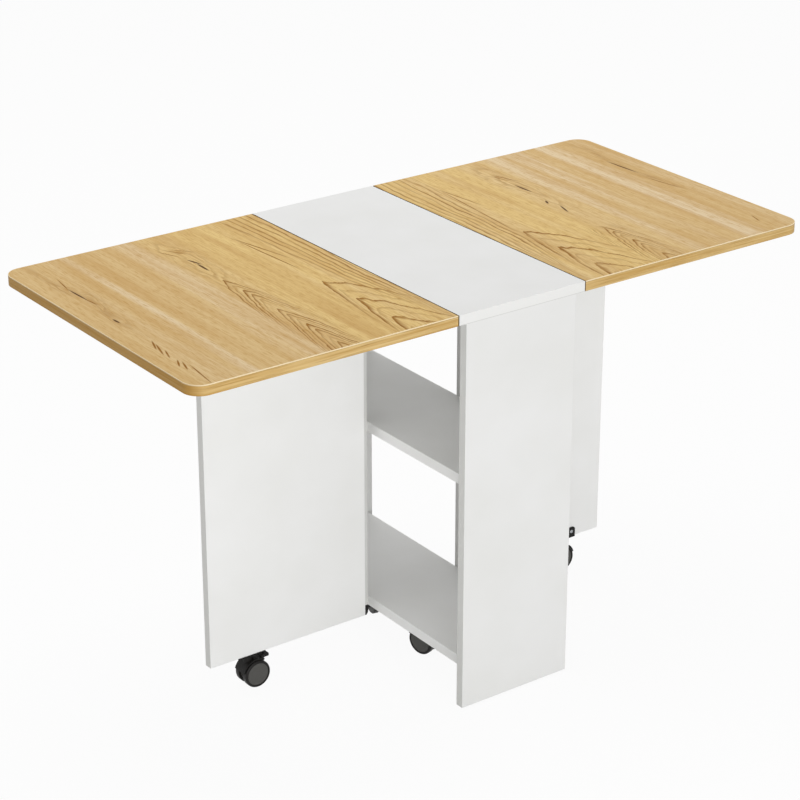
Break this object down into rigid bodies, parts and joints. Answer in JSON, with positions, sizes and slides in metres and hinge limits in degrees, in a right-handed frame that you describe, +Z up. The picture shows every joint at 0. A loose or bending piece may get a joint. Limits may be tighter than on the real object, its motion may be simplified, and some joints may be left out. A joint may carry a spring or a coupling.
{
  "type": "drop-leaf kitchen table with shelf cabinet",
  "caption": "Drop-leaf kitchen table: hinged wood-grain leaves on swing-out gate legs beside a narrow white open-shelf cabinet on swivel casters.",
  "frame": {"origin": "on the floor under the middle of the table top", "axes": "+X along the length towards the right leaf, +Y along the depth towards the rear end panel, +Z up"},
  "size_m": [1.242, 0.6, 0.725],
  "materials": {
    "wood_decor_board": "satin wood-grain melamine",
    "wood_decor_edge_band": "satin wood-grain edge band",
    "white_melamine_board": "satin white melamine",
    "plated_hinge_steel": "nickel plated",
    "white_coated_steel": "white powder coat",
    "beech_dowel": "plain beech",
    "zinc_cam": "die-cast zinc",
    "nylon_pad": "moulded nylon",
    "black_painted_steel": "black powder coat",
    "bright_steel": "bright zinc plated",
    "black_nylon_wheel": "moulded nylon with a grey disc face",
    "black_moulded_nylon": "moulded nylon"
  },
  "bodies": {
    "cabinet": {"centre_top": "white_melamine_board", "front_end_panel": "white_melamine_board", "rear_end_panel": "white_melamine_board", "upper_shelf": "white_melamine_board", "lower_shelf": "white_melamine_board", "cabinet_dowels": "beech_dowel", "shelf_cam_locks": "zinc_cam", "left_hinge_post": "white_melamine_board", "right_hinge_post": "white_melamine_board", "left_leaf_hinge_fixed_flaps": "plated_hinge_steel", "right_leaf_hinge_fixed_flaps": "plated_hinge_steel", "left_leaf_hinge_pins": "plated_hinge_steel", "right_leaf_hinge_pins": "plated_hinge_steel", "left_gate_hinge_post_strip": "white_coated_steel", "right_gate_hinge_post_strip": "white_coated_steel", "left_gate_hinge_pin": "plated_hinge_steel", "right_gate_hinge_pin": "plated_hinge_steel", "shelf_caster_plates": "black_painted_steel", "shelf_caster_kingpins": "bright_steel"},
    "left_leaf": {"left_leaf": "wood_decor_board", "left_leaf_edge_band": "wood_decor_edge_band", "left_leaf_hinge_moving_flaps": "plated_hinge_steel"},
    "left_gate": {"left_gate_panel": "white_melamine_board", "left_gate_hinge_gate_strip": "white_coated_steel", "left_gate_rest_pads": "nylon_pad", "left_gate_caster_bracket": "black_painted_steel", "left_gate_caster_kingpin": "bright_steel"},
    "left_gate_caster": {"left_gate_caster_hood": "black_moulded_nylon"},
    "left_gate_caster_wheels": {"left_gate_caster_wheels": "black_nylon_wheel", "left_gate_caster_axle": "bright_steel"},
    "left_gate_caster_pedal": {"left_gate_caster_pedal": "black_moulded_nylon"},
    "right_leaf": {"right_leaf": "wood_decor_board", "right_leaf_edge_band": "wood_decor_edge_band", "right_leaf_hinge_moving_flaps": "plated_hinge_steel"},
    "right_gate": {"right_gate_panel": "white_melamine_board", "right_gate_hinge_gate_strip": "white_coated_steel", "right_gate_rest_pads": "nylon_pad", "right_gate_caster_bracket": "black_painted_steel", "right_gate_caster_kingpin": "bright_steel"},
    "right_gate_caster": {"right_gate_caster_hood": "black_moulded_nylon"},
    "right_gate_caster_wheels": {"right_gate_caster_wheels": "black_nylon_wheel", "right_gate_caster_axle": "bright_steel"},
    "right_gate_caster_pedal": {"right_gate_caster_pedal": "black_moulded_nylon"},
    "front_left_caster": {"front_left_caster_hood": "black_moulded_nylon"},
    "front_left_caster_wheels": {"front_left_caster_wheels": "black_nylon_wheel", "front_left_caster_axle": "bright_steel"},
    "front_right_caster": {"front_right_caster_hood": "black_moulded_nylon"},
    "front_right_caster_wheels": {"front_right_caster_wheels": "black_nylon_wheel", "front_right_caster_axle": "bright_steel"},
    "rear_left_caster": {"rear_left_caster_hood": "black_moulded_nylon"},
    "rear_left_caster_wheels": {"rear_left_caster_wheels": "black_nylon_wheel", "rear_left_caster_axle": "bright_steel"},
    "rear_right_caster": {"rear_right_caster_hood": "black_moulded_nylon"},
    "rear_right_caster_wheels": {"rear_right_caster_wheels": "black_nylon_wheel", "rear_right_caster_axle": "bright_steel"}
  },
  "joints": [
    {"name": "left_leaf_lift", "type": "hinge", "parent": "cabinet", "child": "left_leaf", "pos_m": [-0.13, 0, 0.7036], "axis": [0, 1, 0], "range_deg": [0, 4]},
    {"name": "left_gate_swing", "type": "hinge", "parent": "cabinet", "child": "left_gate", "pos_m": [-0.1141, -0.0034, 0.07], "axis": [0, 0, -1], "range_deg": [0, 90]},
    {"name": "left_gate_caster_swivel", "type": "hinge", "parent": "left_gate", "child": "left_gate_caster", "pos_m": [-0.3601, -0.0125, 0.055], "axis": [0, 0, 1], "continuous": true},
    {"name": "left_gate_caster_roll", "type": "hinge", "parent": "left_gate_caster", "child": "left_gate_caster_wheels", "pos_m": [-0.3501, -0.0125, 0.025], "axis": [0, 1, 0], "continuous": true},
    {"name": "left_gate_caster_brake", "type": "hinge", "parent": "left_gate_caster", "child": "left_gate_caster_pedal", "pos_m": [-0.33355, -0.0125, 0.05098], "axis": [0, 1, 0], "range_deg": [0, 10]},
    {"name": "right_leaf_lift", "type": "hinge", "parent": "cabinet", "child": "right_leaf", "pos_m": [0.13, 0, 0.7036], "axis": [0, -1, 0], "range_deg": [0, 4]},
    {"name": "right_gate_swing", "type": "hinge", "parent": "cabinet", "child": "right_gate", "pos_m": [0.1141, 0.0034, 0.07], "axis": [0, 0, -1], "range_deg": [0, 90]},
    {"name": "right_gate_caster_swivel", "type": "hinge", "parent": "right_gate", "child": "right_gate_caster", "pos_m": [0.3601, 0.0125, 0.055], "axis": [0, 0, 1], "continuous": true},
    {"name": "right_gate_caster_roll", "type": "hinge", "parent": "right_gate_caster", "child": "right_gate_caster_wheels", "pos_m": [0.3501, 0.0125, 0.025], "axis": [0, 1, 0], "continuous": true},
    {"name": "right_gate_caster_brake", "type": "hinge", "parent": "right_gate_caster", "child": "right_gate_caster_pedal", "pos_m": [0.33355, 0.0125, 0.05098], "axis": [0, -1, 0], "range_deg": [0, 10]},
    {"name": "front_left_caster_swivel", "type": "hinge", "parent": "cabinet", "child": "front_left_caster", "pos_m": [-0.0425, -0.087, 0.06], "axis": [0, 0, 1], "continuous": true},
    {"name": "front_left_caster_roll", "type": "hinge", "parent": "front_left_caster", "child": "front_left_caster_wheels", "pos_m": [-0.04008, -0.0967, 0.025], "axis": [0.9703, 0.2419, 0], "continuous": true},
    {"name": "front_right_caster_swivel", "type": "hinge", "parent": "cabinet", "child": "front_right_caster", "pos_m": [0.0425, -0.087, 0.06], "axis": [0, 0, 1], "continuous": true},
    {"name": "front_right_caster_roll", "type": "hinge", "parent": "front_right_caster", "child": "front_right_caster_wheels", "pos_m": [0.04492, -0.0773, 0.025], "axis": [-0.9703, 0.2419, 0], "continuous": true},
    {"name": "rear_left_caster_swivel", "type": "hinge", "parent": "cabinet", "child": "rear_left_caster", "pos_m": [-0.0425, 0.087, 0.06], "axis": [0, 0, 1], "continuous": true},
    {"name": "rear_left_caster_roll", "type": "hinge", "parent": "rear_left_caster", "child": "rear_left_caster_wheels", "pos_m": [-0.04492, 0.0773, 0.025], "axis": [0.9703, -0.2419, 0], "continuous": true},
    {"name": "rear_right_caster_swivel", "type": "hinge", "parent": "cabinet", "child": "rear_right_caster", "pos_m": [0.0425, 0.087, 0.06], "axis": [0, 0, 1], "continuous": true},
    {"name": "rear_right_caster_roll", "type": "hinge", "parent": "rear_right_caster", "child": "rear_right_caster_wheels", "pos_m": [0.04008, 0.0967, 0.025], "axis": [-0.9703, -0.2419, 0], "continuous": true}
  ]
}
